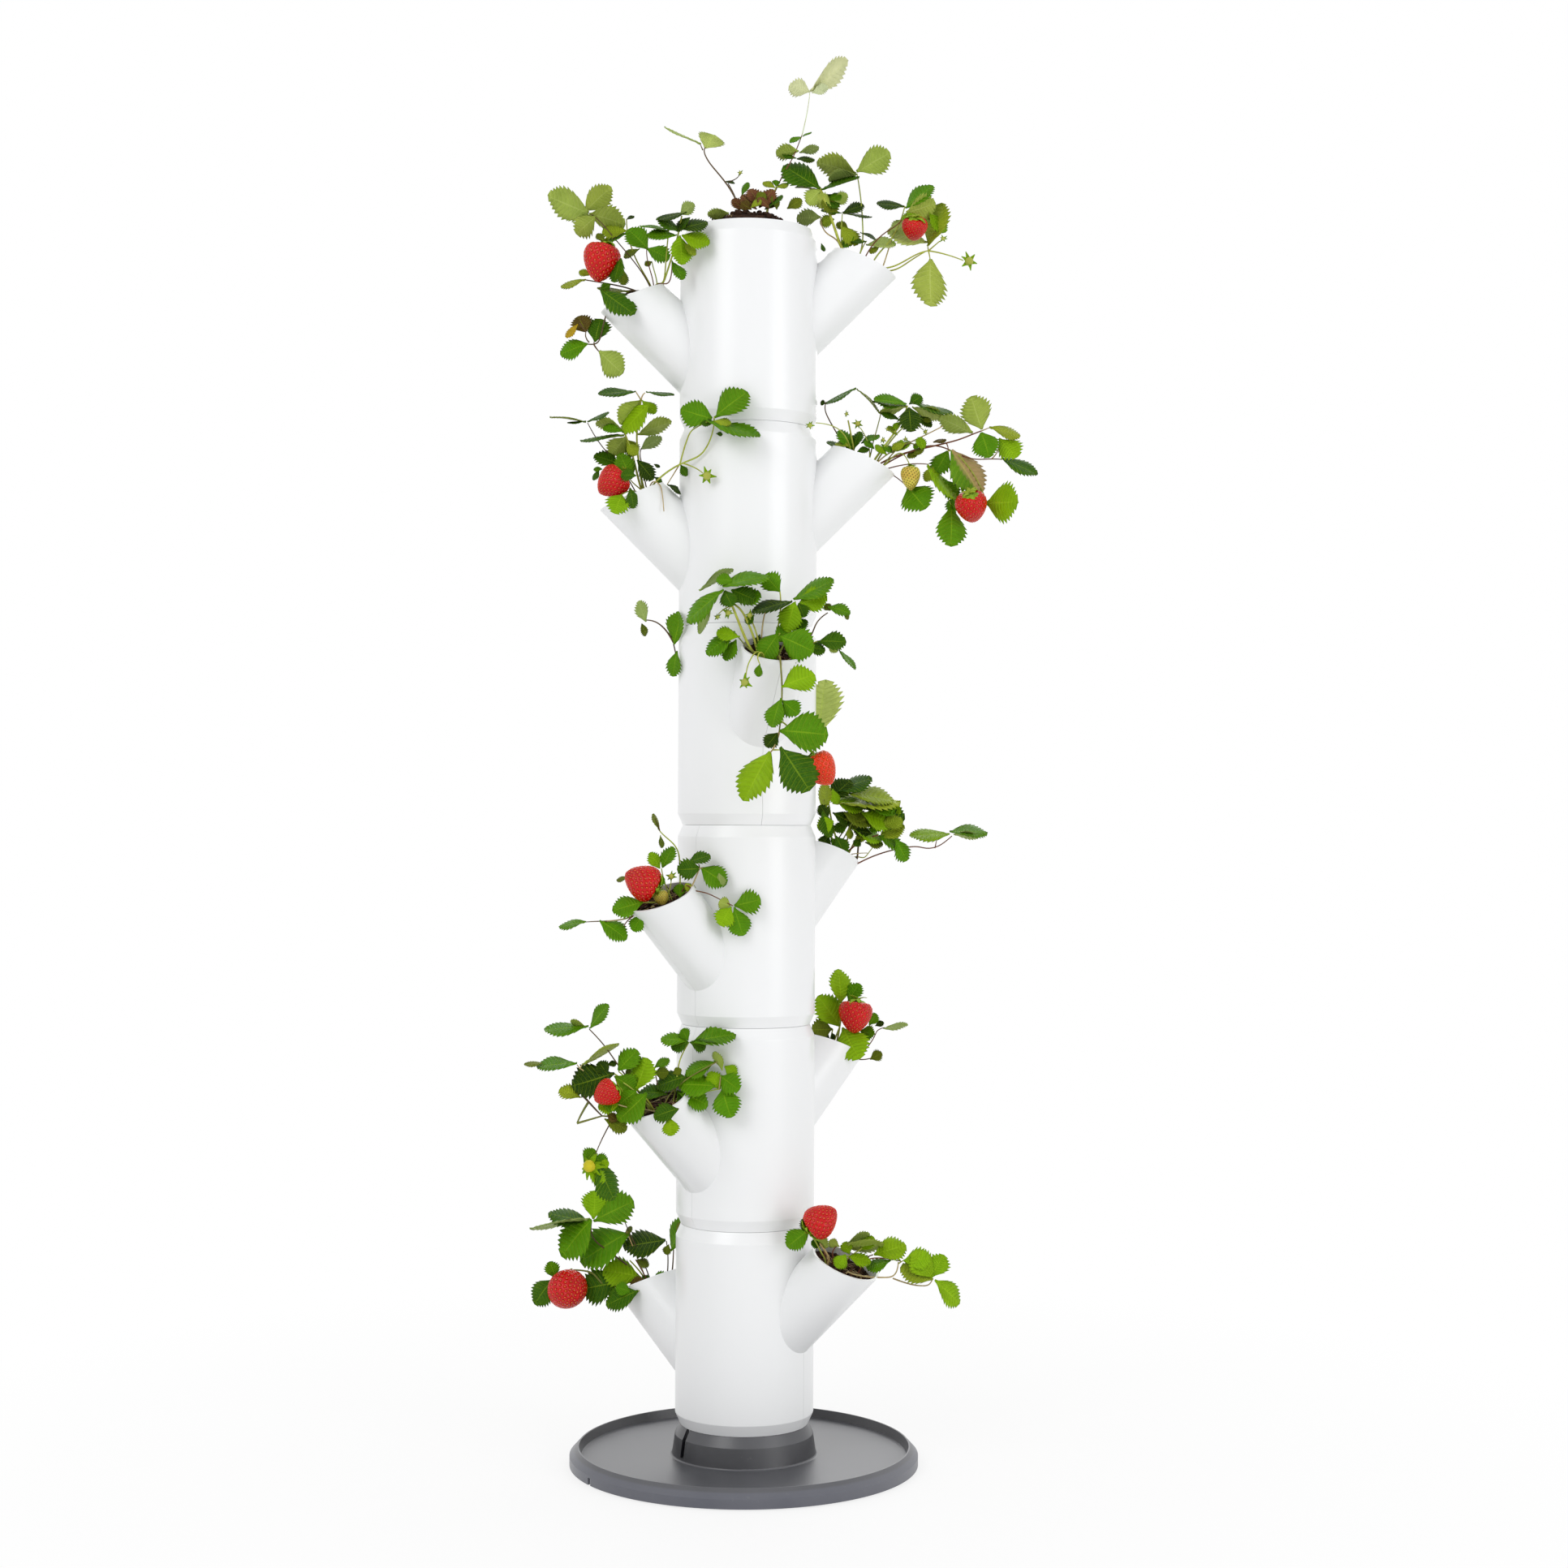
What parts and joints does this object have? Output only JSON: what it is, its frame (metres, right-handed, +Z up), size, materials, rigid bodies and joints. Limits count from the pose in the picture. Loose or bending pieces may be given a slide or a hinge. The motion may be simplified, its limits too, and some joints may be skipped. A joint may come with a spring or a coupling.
{
  "type": "planter tower",
  "caption": "Vertical planter tower of stacked tiers that turn on each other, with slanted planting pockets, on a round drip tray, planted with trailing strawberry plants.",
  "frame": {"origin": "on the tower's axis, on the floor that its tray stands on", "axes": "+Z up along the tower; the top tier's high pocket points 4 degrees from +X towards +Y; the pictured side faces -Y"},
  "size_m": [0.487, 0.3753, 1.381],
  "materials": {
    "shell_white": "satin moulded white",
    "drip_floor_white": "moulded",
    "tray_grey": "matte moulded dark grey",
    "pad_rubber": "matte",
    "soil": "crumbly potting mix",
    "foliage": "living leaf, satin"
  },
  "bodies": {
    "base": {"tray": "tray_grey", "tray_pads": "pad_rubber"},
    "tier1": {"tier1_pin_half": "shell_white", "tier1_socket_half": "shell_white", "tier1_drip_floor": "drip_floor_white", "tier1_soil": "soil", "tier1_plant_high": "foliage", "tier1_plant_low": "foliage"},
    "tier2": {"tier2_pin_half": "shell_white", "tier2_socket_half": "shell_white", "tier2_drip_floor": "drip_floor_white", "tier2_soil": "soil", "tier2_plant_high": "foliage", "tier2_plant_low": "foliage"},
    "tier3": {"tier3_pin_half": "shell_white", "tier3_socket_half": "shell_white", "tier3_drip_floor": "drip_floor_white", "tier3_soil": "soil", "tier3_plant_high": "foliage", "tier3_plant_low": "foliage"},
    "tier4": {"tier4_pin_half": "shell_white", "tier4_socket_half": "shell_white", "tier4_drip_floor": "drip_floor_white", "tier4_soil": "soil", "tier4_plant_high": "foliage", "tier4_plant_low": "foliage"},
    "tier5": {"tier5_pin_half": "shell_white", "tier5_socket_half": "shell_white", "tier5_drip_floor": "drip_floor_white", "tier5_soil": "soil", "tier5_plant_high": "foliage", "tier5_plant_low": "foliage"},
    "tier6": {"tier6_pin_half": "shell_white", "tier6_socket_half": "shell_white", "tier6_drip_floor": "drip_floor_white", "tier6_soil": "soil", "tier6_plant_high": "foliage", "tier6_plant_low": "foliage", "crown_plant": "foliage"}
  },
  "joints": [
    {"name": "tier1_swivel", "type": "hinge", "parent": "base", "child": "tier1", "pos_m": [0, 0, 0.0415], "axis": [0, 0, 1], "continuous": true},
    {"name": "tier2_swivel", "type": "hinge", "parent": "tier1", "child": "tier2", "pos_m": [0, 0, 0.2415], "axis": [0, 0, 1], "continuous": true},
    {"name": "tier3_swivel", "type": "hinge", "parent": "tier2", "child": "tier3", "pos_m": [0, 0, 0.4415], "axis": [0, 0, 1], "continuous": true},
    {"name": "tier4_swivel", "type": "hinge", "parent": "tier3", "child": "tier4", "pos_m": [0, 0, 0.6415], "axis": [0, 0, 1], "continuous": true},
    {"name": "tier5_swivel", "type": "hinge", "parent": "tier4", "child": "tier5", "pos_m": [0, 0, 0.8415], "axis": [0, 0, 1], "continuous": true},
    {"name": "tier6_swivel", "type": "hinge", "parent": "tier5", "child": "tier6", "pos_m": [0, 0, 1.0415], "axis": [0, 0, 1], "continuous": true}
  ]
}
